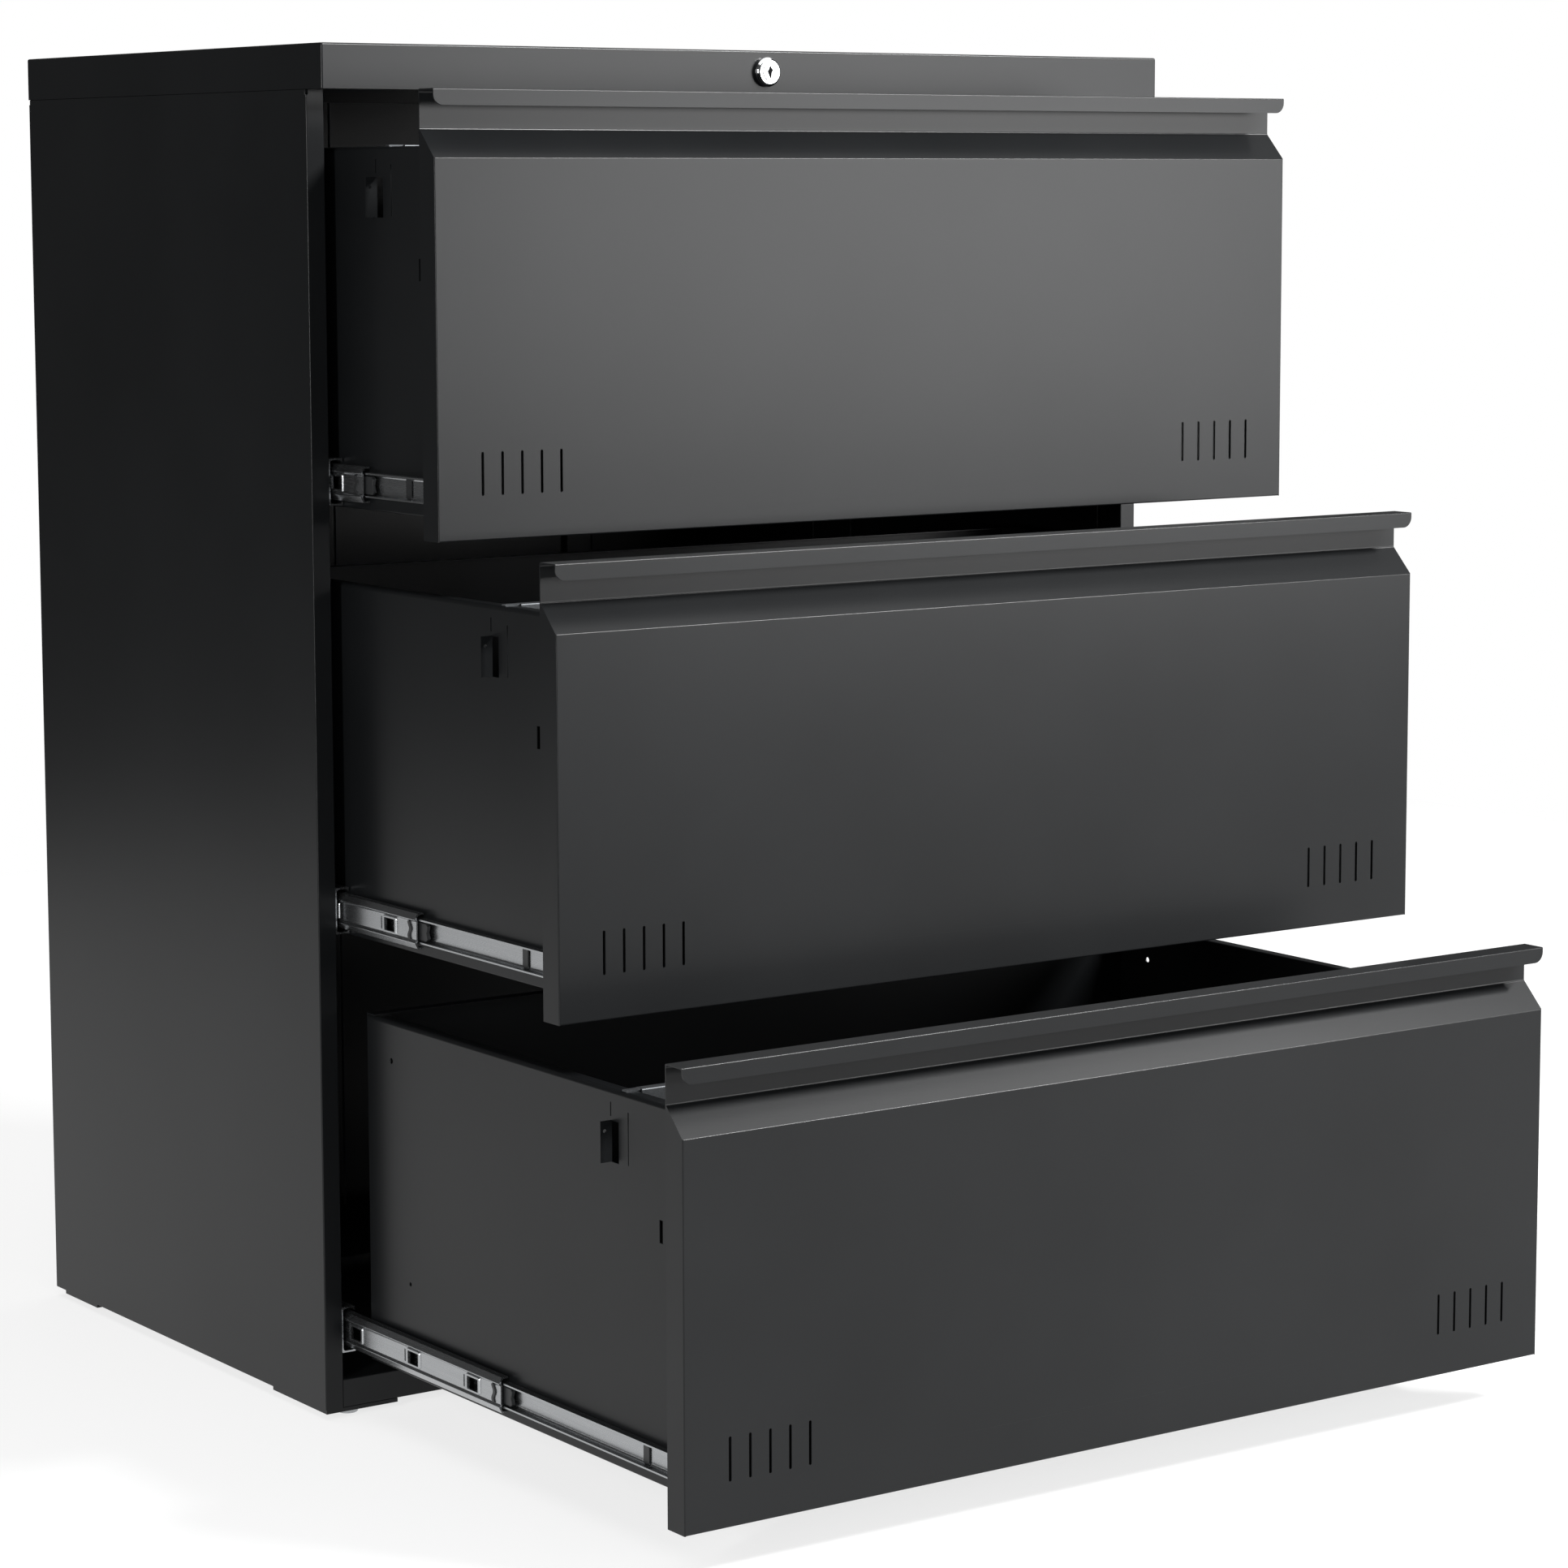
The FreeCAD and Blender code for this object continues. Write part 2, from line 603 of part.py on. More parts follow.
def vent_cutters(drawer):
    """Rows of upright slots in both lower corners of a drawer front."""
    y = face_y(drawer)
    low = front_bottom_z(drawer) + VENT_RISE
    cutters = []
    for side in (-1, 1):
        for i in range(VENTS):
            x = side * (HALF_WIDTH - VENT_EDGE - i * VENT_PITCH)
            cutters.append(slot_y(x, y - SHEET, y + 3 * SHEET, low, low + VENT_HEIGHT, VENT_WIDTH))
    return Part.makeCompound(cutters)


def lip_corner_cutter(side, y, z):
    """What is taken off the lip's lower corner to round it."""
    x = side * HALF_WIDTH
    inner = x - side * LIP_CORNER
    x0, x1 = sorted((inner, x + side * CLEAR))
    block = box(x0, x1, y - SHEET, y + 2 * SHEET, z - CLEAR, z + LIP_CORNER)
    return block.cut(rod(LIP_CORNER, 3 * SHEET, Vec(inner, y - SHEET, z + LIP_CORNER), Vec(0, 1, 0)))


def drawer_front(drawer):
    """Drawer front folded from one sheet: face, slant, recessed handle band, top and turned-down lip."""
    y = face_y(drawer)
    low, brow, top = front_bottom_z(drawer), face_top_z(drawer), lip_z(drawer)
    band_y = y + FRONT_DEPTH - SHEET
    shelf_z = top - SHEET
    path = [(y + FRONT_DEPTH, low), (y, low), (y, brow), (band_y, brow + SLANT_RISE), (band_y, shelf_z)]
    path += [(y + SHEET, shelf_z), (y + SHEET, top - LIP_HEIGHT)]
    sheet = folded(path, "YZ", -HALF_WIDTH, HALF_WIDTH, bends=FRONT_BENDS)
    rear = y + FRONT_DEPTH
    slant_top = brow + SLANT_RISE
    pieces = [sheet]
    for side in (-1, 1):
        x0, x1 = sorted((side * HALF_WIDTH, side * (HALF_WIDTH - SHEET)))
        corners = [(y, low), (y, brow), (band_y, slant_top), (rear, slant_top), (rear, low), (y, low)]
        outline = Part.makePolygon([Vec(x0, a, b) for a, b in corners])
        pieces.append(Part.Face(outline).extrude(Vec(SHEET, 0, 0)))
        x0, x1 = sorted((side * (HALF_WIDTH - SHEET), side * (HALF_WIDTH - END_RETURN)))
        pieces.append(box(x0, x1, rear - SHEET, rear, low + 2 * SHEET, brow + SLANT_RISE / 2))
    front = fused(pieces)
    corner_edges = [e for e in front.Edges if is_front_corner(e, y, low, brow)]
    front = front.makeFillet(CORNER_ROUNDING, corner_edges)
    front = front.cut(vent_cutters(drawer))
    for side in (-1, 1):
        front = front.cut(lip_corner_cutter(side, y, top - LIP_HEIGHT))
    return front


def is_front_corner(edge, y, low, brow):
    """Whether an edge is one of the upright outer corners of a drawer front's face."""
    bounds = edge.BoundBox
    upright = bounds.ZLength > (brow - low) / 2 and bounds.XLength < SAME
    at_face = abs(bounds.YMin - y) < SAME and bounds.YLength < SAME
    return upright and at_face and abs(abs(bounds.XMin) - HALF_WIDTH) < SAME


def drawer_inner_front(drawer):
    """Flat sheet that closes the back of a drawer front, from the bottom up to behind the handle band."""
    y = face_y(drawer) + FRONT_DEPTH
    reach = HALF_WIDTH - INNER_FRONT_EDGE
    low = front_bottom_z(drawer) + INNER_FRONT_RISE
    return box(-reach, reach, y, y + SHEET, low, face_top_z(drawer) + INNER_FRONT_TOP)


def drawer_side(drawer):
    """Left side of a drawer box, with its flanges, slots and bent-out lock tab."""
    low, top = box_bottom_z(drawer), box_top_z(drawer)
    front = face_y(drawer) + FRONT_DEPTH + SHEET
    x = -BOX_SIDE_X
    roll_x = x + TOP_ROLL_WIDTH
    path = [(x + BOTTOM_FLANGE, low), (x, low), (x, top), (roll_x, top), (roll_x, top - TOP_ROLL_DROP)]
    side = folded(path, "XZ", front, front + BOX_LENGTH, bends=TOP_ROLL_BENDS)
    front_flange = box(x + SHEET, x + FRONT_FLANGE, front, front + SHEET,
                       low + FRONT_FLANGE_RISE, top - FRONT_FLANGE_DROP)
    tab_y = face_y(drawer) + TAB_FROM_FACE
    tab = box(x - TAB_REACH, x + SHEET / 2, tab_y, tab_y + SHEET, top - TAB_BOTTOM, top - TAB_TOP)
    hole_place = Vec(x - TAB_HOLE_REACH, tab_y - SHEET, top - TAB_HOLE_TOP)
    tab_hole = rod(TAB_HOLE_RADIUS, 3 * SHEET, hole_place, Vec(0, 1, 0))
    return fused([side, front_flange, tab]).cut(tab_hole).cut(side_cutters(drawer))


def side_cutters(drawer):
    """The window that the lock tab is bent out of, the slits beside it, and the slot and holes."""
    low, top = box_bottom_z(drawer), box_top_z(drawer)
    face = face_y(drawer)
    outside = -BOX_SIDE_X - CLEAR
    inside = -BOX_SIDE_X + 3 * SHEET
    tab_y = face + TAB_FROM_FACE
    long_y = tab_y - LONG_SLIT_AHEAD
    slot_y0 = face + FRONT_SLOT_FROM_FACE - FRONT_SLOT_HALF
    slot_y1 = face + FRONT_SLOT_FROM_FACE + FRONT_SLOT_HALF
    through = inside - outside
    rear_place = Vec(outside, face + REAR_HOLE_FROM_FACE, top - REAR_HOLE_TOP)
    low_place = Vec(outside, face + LOW_HOLE_FROM_FACE, low + LOW_HOLE_RISE)
    return Part.makeCompound([
        box(outside, inside, tab_y - TAB_WINDOW, tab_y, top - TAB_BOTTOM, top - TAB_TOP),
        box(outside, inside, tab_y - HOOK_SLIT_HALF, tab_y + HOOK_SLIT_HALF,
            top - SHORT_SLIT_BOTTOM, top - SHORT_SLIT_TOP),
        box(outside, inside, long_y - HOOK_SLIT_HALF, long_y + HOOK_SLIT_HALF,
            top - LONG_SLIT_BOTTOM, top - LONG_SLIT_TOP),
        box(outside, inside, slot_y0, slot_y1, top - FRONT_SLOT_BOTTOM, top - FRONT_SLOT_TOP),
        rod(REAR_HOLE_RADIUS, through, rear_place, Vec(1, 0, 0)),
        rod(LOW_HOLE_RADIUS, through, low_place, Vec(1, 0, 0)),
    ])


def drawer_bottom(drawer):
    """Drawer floor, lying on the sides' bottom flanges, with three shallow pressed ribs."""
    z = box_bottom_z(drawer) + SHEET
    edge = BOX_SIDE_X - FLOOR_EDGE_GAP
    path = [(-edge, z)]
    for centre in (-edge / 2, 0.0, edge / 2):
        path.append((centre - FLOOR_RIB_HALF, z))
        path.append((centre - FLOOR_RIB_HALF + FLOOR_RIB_HEIGHT, z + FLOOR_RIB_HEIGHT))
        path.append((centre + FLOOR_RIB_HALF - FLOOR_RIB_HEIGHT, z + FLOOR_RIB_HEIGHT))
        path.append((centre + FLOOR_RIB_HALF, z))
    path.append((edge, z))
    front = face_y(drawer) + FRONT_DEPTH + 2 * SHEET
    return folded(path[::-1], "XZ", front + SHEET, front + BOX_LENGTH - 2 * SHEET)


def drawer_back(drawer):
    """Drawer back, closing the ends of the sides, with a rolled top edge that carries hanging folders."""
    rear = face_y(drawer) + FRONT_DEPTH + SHEET + BOX_LENGTH
    low, top = box_bottom_z(drawer), box_top_z(drawer)
    path = [(rear - BACK_HOOK, top + SHEET), (rear + SHEET, top + SHEET), (rear + SHEET, low)]
    return folded(path, "YZ", -BOX_SIDE_X, BOX_SIDE_X, bends=[BACK_BEND])


def file_rail(drawer):
    """Hanging-folder rail across a drawer: an upside-down channel whose ends rest on the sides."""
    y = face_y(drawer) + FILE_RAIL_FROM_FACE
    low = box_top_z(drawer) - FILE_RAIL_HEIGHT
    top = box_top_z(drawer) + SLIDE_GAUGE
    front, rear = y - FILE_RAIL_HALF, y + FILE_RAIL_HALF
    clear = BOX_SIDE_X - FILE_RAIL_END_GAP
    path = [(front, low), (front, top), (rear, top), (rear, low)]
    channel = folded(path, "YZ", -clear, clear, SLIDE_GAUGE)
    reach = BOX_SIDE_X - FILE_REST_INSET
    rest = box(-reach, reach, front + FILE_REST_INSET, rear - FILE_REST_INSET, top - SLIDE_GAUGE, top)
    return fused([channel, rest])


def lock_barrel():
    """Lock body: a domed rim and a tube that runs back through the apron and the rail."""
    tube_end = STILE_Y + BARREL_REACH - CAP_FRONT_Y
    bore = LOCK_PLUG_RADIUS + LOCK_FIT
    tube = LOCK_BODY_RADIUS - LOCK_FIT
    corners = [(LOCK_RIM_RADIUS, -LOCK_RIM_EDGE), (LOCK_RIM_RADIUS, 0), (tube, 0), (tube, tube_end)]
    corners += [(bore, tube_end), (bore, -LOCK_STANDS_OUT), (LOCK_RIM_FLAT, -LOCK_STANDS_OUT)]
    points = [Vec(r, y, 0) for r, y in corners]
    edges = [Part.LineSegment(a, b).toShape() for a, b in zip(points, points[1:])]
    edges.append(Part.Arc(points[-1], Vec(*LOCK_RIM_MID, 0), points[0]).toShape())
    outline = Part.Wire(Part.__sortEdges__(edges))
    barrel = Part.Face(outline).revolve(Vec(0, 0, 0), Vec(0, 1, 0), 360)
    barrel.translate(Vec(0, CAP_FRONT_Y, LOCK_Z))
    return barrel


def lock_plug():
    """Turning plug with a cut keyway, slightly proud of the rim, and long enough to reach the cam."""
    front = CAP_FRONT_Y - LOCK_STANDS_OUT - PLUG_PROUD
    length = STILE_Y + PLUG_REACH - front
    plug = rod(LOCK_PLUG_RADIUS, length, Vec(0, front, LOCK_Z), Vec(0, 1, 0))
    edge = [e for e in plug.Edges if abs(e.BoundBox.YMax - front) < SAME]
    plug = plug.makeChamfer(PLUG_CHAMFER, edge)
    blade = box(-KEYWAY_HALF_WIDTH, KEYWAY_HALF_WIDTH, front - CLEAR, front + KEYWAY_DEPTH,
                LOCK_Z - KEYWAY_HALF_HEIGHT, LOCK_Z + KEYWAY_HALF_HEIGHT)
    ward_place = Vec(0, front - CLEAR, LOCK_Z + KEYWAY_WARD_RISE)
    ward = rod(KEYWAY_WARD_RADIUS, KEYWAY_DEPTH + CLEAR, ward_place, Vec(0, 1, 0))
    return plug.cut(fused([blade, ward]))


def cam_pin_drop():
    """How far below the lock's middle, and how far to its right, the cam's pin rests."""
    return CAM_RADIUS * math.sin(math.radians(CAM_REST_ANGLE))


def lock_cam():
    """Cam on the plug's rear end, with a pin that lifts the lock bar."""
    y = STILE_Y + PLUG_REACH
    centre = Vec(0, y, LOCK_Z)
    hub = rod(CAM_HUB_RADIUS, CAM_GAUGE, centre, Vec(0, 1, 0))
    arm = box(0, CAM_RADIUS, y, y + CAM_GAUGE, LOCK_Z - CAM_TIP_RADIUS, LOCK_Z + CAM_TIP_RADIUS)
    tip = rod(CAM_TIP_RADIUS, CAM_GAUGE, centre + Vec(CAM_RADIUS, 0, 0), Vec(0, 1, 0))
    arm = fused([arm, tip])
    arm.rotate(centre, Vec(0, 1, 0), CAM_REST_ANGLE)
    drop = cam_pin_drop()
    pin = rod(CAM_PIN_RADIUS, CAM_PIN_LENGTH, centre + Vec(drop, 0, -drop), Vec(0, 1, 0))
    return fused([hub, arm, pin])


def lock_bar():
    """Gang bar: a slotted arm under the cap and an upright strip on the left with a hook per drawer."""
    y = STILE_Y + BAR_FROM_STILE
    x = -HALF_WIDTH + BAR_FROM_SIDE
    z = LOCK_Z - cam_pin_drop()
    low, high = z - BAR_HALF_HEIGHT, z + BAR_HALF_HEIGHT
    tab_closed_y = CAP_FRONT_Y + TAB_FROM_FACE
    front, rear = tab_closed_y - BAR_STRIP_AHEAD, tab_closed_y - BAR_STRIP_BEHIND
    arm = box(x, BAR_ARM_END, y, y + BAR_GAUGE, low, high)
    slot = box(*BAR_SLOT, y - CLEAR, y + BAR_GAUGE + CLEAR,
               z - BAR_SLOT_HALF_HEIGHT, z + BAR_SLOT_HALF_HEIGHT)
    link = box(x, x + BAR_GAUGE, y, rear, low, high)
    strip = box(x, x + BAR_GAUGE, front, rear, BAR_BOTTOM_Z, high)
    pieces = [arm.cut(slot), link, strip]
    for drawer in DRAWERS:
        top = box_top_z(drawer)
        hook_x = -BOX_SIDE_X - HOOK_GAP
        pieces.append(box(x, hook_x, rear - BAR_GAUGE, rear, top - HOOK_BOTTOM, top - HOOK_TOP))
    return fused(pieces)


def case_screws():
    """Back-panel screws and the rivets that hold the slides, as pan heads on the faces they clamp."""
    heads = []
    for side in (-1, 1):
        for z in SCREW_HEIGHTS:
            place = Vec(side * (HALF_WIDTH - SCREW_EDGE), CASE_REAR_Y, z)
            heads.append(pan_head(place, Vec(0, 1, 0), SCREW_RADIUS))
        for drawer in DRAWERS:
            for y in (STILE_Y + RIVET_FROM_FRONT, CASE_REAR_Y - RIVET_FROM_REAR):
                place = Vec(side * (SLIDE_X - SLIDE_GAUGE), y, slide_z(drawer))
                heads.append(pan_head(place, Vec(-side, 0, 0), RIVET_RADIUS))
    return Part.makeCompound(heads)


def pan_head(place, axis, radius):
    """A low rounded head standing on a face."""
    head = rod(radius, SCREW_HEAD, Vec(0, 0, 0), Vec(0, 0, 1))
    rim = [e for e in head.Edges if e.BoundBox.ZMin > SCREW_HEAD - SAME]
    head = head.makeFillet(HEAD_ROUNDING, rim)
    head.Placement = FreeCAD.Placement(place, FreeCAD.Rotation(Vec(0, 0, 1), axis))
    return head


def build_parts():
    """Every node's shape by name."""
    parts = {}
    pairs = {"side_panel": side_panel()}
    parts["slide_posts"] = slide_posts()
    parts["back_panel"] = back_panel()
    parts["top_cap"] = top_cap()
    parts["bottom_panel"] = bottom_panel()
    parts["front_top_rail"] = front_top_rail()
    parts["counterweight"] = counterweight()
    parts["corner_brackets"] = corner_brackets()
    parts["case_screws"] = case_screws()
    parts["lock_barrel"] = lock_barrel()
    parts["lock_plug"] = lock_plug()
    parts["lock_cam"] = lock_cam()
    parts["lock_bar"] = lock_bar()
    for name, (x, y) in foot_places().items():
        parts["levelling_foot_" + name] = levelling_foot(x, y)
    for drawer in DRAWERS:
        parts["drawer_front_" + drawer] = drawer_front(drawer)
        parts["drawer_inner_front_" + drawer] = drawer_inner_front(drawer)
        parts["drawer_bottom_" + drawer] = drawer_bottom(drawer)
        parts["drawer_back_" + drawer] = drawer_back(drawer)
        parts["file_rail_" + drawer] = file_rail(drawer)
        parts["ball_cages_" + drawer] = ball_cages(drawer)
        pairs["drawer_side_" + drawer] = drawer_side(drawer)
        pairs["slide_outer_" + drawer] = slide_outer(drawer)
        pairs["slide_middle_" + drawer] = slide_middle(drawer)
        pairs["slide_inner_" + drawer] = slide_inner(drawer)
    for name, left in pairs.items():
        parts[name + "_left"] = left
        parts[name + "_right"] = mirrored(left)
    return parts


def main():
    os.makedirs("parts", exist_ok=True)
    for name, shape in build_parts().items():
        shape.exportStep("parts/" + name + ".step")
        print(name, "valid" if shape.isValid() else "NOT VALID", len(shape.Solids), round(shape.Volume))


main()
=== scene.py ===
import json
import math

import bmesh
import bpy
from mathutils import Matrix, Vector


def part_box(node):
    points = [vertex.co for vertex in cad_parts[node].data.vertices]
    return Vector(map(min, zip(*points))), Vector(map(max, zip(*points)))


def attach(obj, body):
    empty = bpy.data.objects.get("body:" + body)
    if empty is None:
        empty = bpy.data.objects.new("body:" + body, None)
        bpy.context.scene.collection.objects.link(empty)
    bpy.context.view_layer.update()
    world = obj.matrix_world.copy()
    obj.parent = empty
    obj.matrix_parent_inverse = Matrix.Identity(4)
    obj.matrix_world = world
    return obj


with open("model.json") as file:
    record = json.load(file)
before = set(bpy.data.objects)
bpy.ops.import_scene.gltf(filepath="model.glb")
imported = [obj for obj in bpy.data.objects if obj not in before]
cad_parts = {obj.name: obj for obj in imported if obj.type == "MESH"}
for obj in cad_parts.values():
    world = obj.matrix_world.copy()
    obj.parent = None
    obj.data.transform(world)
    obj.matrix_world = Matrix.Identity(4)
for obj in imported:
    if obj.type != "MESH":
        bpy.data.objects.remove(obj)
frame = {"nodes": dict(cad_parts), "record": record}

MM = 0.001
DRAWERS = ("top", "middle", "bottom")
SIDES = ("left", "right")

# All these are in millimetres. First the slides' middle members, as they are stamped.
WEB_X = 372.3
WINDOWS = 5
FIRST_WINDOW = 38.0
WINDOW_PITCH = 85.0
WINDOW_HALF_LENGTH = 7.5
WINDOW_HALF_HEIGHT = 4.8
WINDOW_CORNER = 0.6
FRAME_MARGIN_LENGTH = 2.4
FRAME_MARGIN_HEIGHT = 1.7
FRAME_CORNER = 1.6
FRAME_TAPER = 0.93
PRESSED_HEIGHT = 0.9

# The wavy stop behind a middle member's front end.
STOP_BEHIND = 9.0
STOP_HALF_HEIGHT = 6.6
STOP_HALF_WIDTH = 1.5
STOP_STEPS = 24
WAVE_DEPTH = 1.1
HALF_WAVES = 2.5

# The nose of the ball cage, drawn from the middle member's front end, and the release lever behind
# the drawer member's front end. Each X pair is its two faces, measured from the cabinet's middle.
NOSE_X = (366.7, 369.6)
NOSE_OUTLINE = ((6.0, -6.6), (-9.0, -6.6), (-11.0, -4.6), (-9.4, 0.0), (-11.0, 4.6), (-9.0, 6.6),
                (6.0, 6.6))
NOSE_SOFTENING = 0.4
LEVER_X = (364.9, 366.3)
LEVER_BEHIND = 64.0
LEVER_HALF_LENGTH = 3.6
LEVER_HALF_HEIGHT = 7.4
LEVER_CORNER = 1.4
LEVER_SOFTENING = 0.3

# The stepped hook, drawn back from the front edge and up from the bottom of the drawer's side.
HOOK_X = (362.2, 363.7)
HOOK_OUTLINE = ((0.5, 0.9), (0.5, -6.2), (4.0, -6.8), (10.0, -5.0), (12.0, -2.6), (25.0, -2.2),
                (28.0, 0.9))
HOOK_SOFTENING = 0.3

# The painted keyway shade, a near-black plate in the lock's face, drawn from the plug's middle.
KEYWAY_SHADE_OUTLINE = ((-0.2, 4.9), (2.8, 1.4), (1.4, -0.2), (1.1, -4.6), (-0.1, -5.0), (-2.9, 0.3))
KEYWAY_SHADE_PROUD = 0.12
KEYWAY_SHADE_DEPTH = 1.0

SHARP_EDGE = math.radians(50)

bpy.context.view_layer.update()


# ---------------------------------------------------------------- colours and nodes

def srgb(hex_colour):
    """A hex colour as linear red, green, blue and alpha."""
    parts = [int(hex_colour[i:i + 2], 16) / 255 for i in (1, 3, 5)]
    linear = [c / 12.92 if c <= 0.04045 else ((c + 0.055) / 1.055) ** 2.4 for c in parts]
    return (*linear, 1.0)


def node(tree, kind, inputs=None, **settings):
    """Adds a node with its settings, and fills its inputs with values or other nodes' outputs."""
    made = tree.nodes.new(kind)
    for name, value in settings.items():
        setattr(made, name, value)
    for name, value in (inputs or {}).items():
        if isinstance(value, bpy.types.NodeSocket):
            tree.links.new(value, made.inputs[name])
        else:
            made.inputs[name].default_value = value
    return made


def new_material(name):
    """An empty node material with its tree, its output and the place that patterns are drawn from."""
    made = bpy.data.materials.new(name)
    made.use_nodes = True
    tree = made.node_tree
    tree.nodes.clear()
    out = node(tree, "ShaderNodeOutputMaterial")
    place = node(tree, "ShaderNodeTexCoord").outputs["Object"]
    return made, tree, out, place


def ramp(tree, value, stops):
    """A colour ramp through (position, hex colour) stops."""
    made = node(tree, "ShaderNodeValToRGB", {"Fac": value})
    elements = made.color_ramp.elements
    while len(elements) < len(stops):
        elements.new(1.0)
    for element, (position, colour) in zip(elements, stops):
        element.position = position
        element.color = srgb(colour)
    return made.outputs["Color"]


# ---------------------------------------------------------------- materials

def black_powder_coat():
    """Black polyester powder coat, sprayed and baked: satin, with a faint orange peel and fine grain."""
    made, tree, out, place = new_material("black_powder_coat")
    peel_mm = 2.6  # the real peel is about 1 mm across, drawn coarser so that it shows
    grain_mm = 0.5
    cloud_mm = 160.0
    peel = node(tree, "ShaderNodeTexNoise", {"Vector": place, "Scale": 1 / (peel_mm * MM), "Detail": 2.0})
    grain = node(tree, "ShaderNodeTexNoise", {"Vector": place, "Scale": 1 / (grain_mm * MM), "Detail": 1.0})
    cloud = node(tree, "ShaderNodeTexNoise", {"Vector": place, "Scale": 1 / (cloud_mm * MM), "Detail": 3.0})
    colour = ramp(tree, cloud.outputs["Fac"], [(0.3, "#0e0f10"), (0.7, "#121314")])
    gloss = node(tree, "ShaderNodeMapRange", {"Value": grain.outputs["Fac"], "To Min": 0.26, "To Max": 0.33})
    mixed = node(tree, "ShaderNodeMath", {0: peel.outputs["Fac"], 1: grain.outputs["Fac"]}, operation="ADD")
    bump = node(tree, "ShaderNodeBump", {"Height": mixed.outputs[0], "Strength": 0.10,
                                         "Distance": 0.05 * MM})
    shader = node(tree, "ShaderNodeBsdfPrincipled", {
        "Base Color": colour, "Roughness": gloss.outputs["Result"], "Normal": bump.outputs["Normal"],
        "IOR": 1.5, "Specular IOR Level": 0.19})
    tree.links.new(shader.outputs["BSDF"], out.inputs["Surface"])
    return made


def zinc_plate(name, dark, light, smoothest, roughest):
    """Cold-rolled strip plated with zinc: rolled streaks along its length and a soft mirror."""
    made, tree, out, place = new_material(name)
    streak_mm = 0.8
    stretch = 60.0
    stretched = node(tree, "ShaderNodeMapping", {"Vector": place, "Scale": (1.0, 1.0 / stretch, 1.0)})
    streak = node(tree, "ShaderNodeTexNoise", {"Vector": stretched.outputs["Vector"],
                                               "Scale": 1 / (streak_mm * MM), "Detail": 3.0})
    colour = ramp(tree, streak.outputs["Fac"], [(0.3, dark), (0.7, light)])
    gloss = node(tree, "ShaderNodeMapRange", {"Value": streak.outputs["Fac"],
                                              "To Min": smoothest, "To Max": roughest})
    bump = node(tree, "ShaderNodeBump", {"Height": streak.outputs["Fac"], "Strength": 0.05,
                                         "Distance": 0.02 * MM})
    shader = node(tree, "ShaderNodeBsdfPrincipled", {
        "Base Color": colour, "Metallic": 1.0, "Roughness": gloss.outputs["Result"],
        "Normal": bump.outputs["Normal"]})
    tree.links.new(shader.outputs["BSDF"], out.inputs["Surface"])
    return made


def polished_chrome():
    """Bright chrome plate on a die-cast lock: a clear mirror with hairline polishing marks."""
    made, tree, out, place = new_material("polished_chrome")
    mark_mm = 0.6
    mark = node(tree, "ShaderNodeTexNoise", {"Vector": place, "Scale": 1 / (mark_mm * MM), "Detail": 3.0})
    colour = ramp(tree, mark.outputs["Fac"], [(0.3, "#d6d7d9"), (0.7, "#dfe0e1")])
    gloss = node(tree, "ShaderNodeMapRange", {"Value": mark.outputs["Fac"], "To Min": 0.06, "To Max": 0.13})
    shader = node(tree, "ShaderNodeBsdfPrincipled", {
        "Base Color": colour, "Metallic": 1.0, "Roughness": gloss.outputs["Result"]})
    tree.links.new(shader.outputs["BSDF"], out.inputs["Surface"])
    return made


def mill_steel():
    """Bare hot-rolled slab with mill scale: dark, patchy and dull."""
    made, tree, out, place = new_material("mill_scale_steel")
    patch_mm = 30.0
    patch = node(tree, "ShaderNodeTexNoise", {"Vector": place, "Scale": 1 / (patch_mm * MM), "Detail": 6.0})
    colour = ramp(tree, patch.outputs["Fac"], [(0.35, "#3f4043"), (0.65, "#5c5b58")])
    gloss = node(tree, "ShaderNodeMapRange", {"Value": patch.outputs["Fac"], "To Min": 0.5, "To Max": 0.7})
    shader = node(tree, "ShaderNodeBsdfPrincipled", {
        "Base Color": colour, "Metallic": 1.0, "Roughness": gloss.outputs["Result"]})
    tree.links.new(shader.outputs["BSDF"], out.inputs["Surface"])
    return made


def keyway_shade_black():
    """Painted keyway shade: near-black, dull and barely glossy, so that it looks as dark as the shade in a
    keyway.
    """
    made, tree, out, place = new_material("painted_shade_keyway_black")
    mottle_mm = 0.9
    mottle = node(tree, "ShaderNodeTexNoise", {"Vector": place,
                                               "Scale": 1 / (mottle_mm * MM), "Detail": 3.0})
    colour = ramp(tree, mottle.outputs["Fac"], [(0.3, "#08080a"), (0.7, "#0d0d0e")])
    gloss = node(tree, "ShaderNodeMapRange", {"Value": mottle.outputs["Fac"], "To Min": 0.6, "To Max": 0.75})
    shader = node(tree, "ShaderNodeBsdfPrincipled", {
        "Base Color": colour, "Roughness": gloss.outputs["Result"], "Specular IOR Level": 0.05})
    tree.links.new(shader.outputs["BSDF"], out.inputs["Surface"])
    return made


def black_acetal():
    """Black acetal, injection moulded: smooth, slightly waxy, with a fine mould grain."""
    made, tree, out, place = new_material("black_acetal")
    grain_mm = 0.4
    grain = node(tree, "ShaderNodeTexNoise", {"Vector": place, "Scale": 1 / (grain_mm * MM), "Detail": 2.0})
    colour = ramp(tree, grain.outputs["Fac"], [(0.3, "#131415"), (0.7, "#191a1b")])
    gloss = node(tree, "ShaderNodeMapRange", {"Value": grain.outputs["Fac"], "To Min": 0.35, "To Max": 0.5})
    shader = node(tree, "ShaderNodeBsdfPrincipled", {
        "Base Color": colour, "Roughness": gloss.outputs["Result"], "IOR": 1.48})
    tree.links.new(shader.outputs["BSDF"], out.inputs["Surface"])
    return made


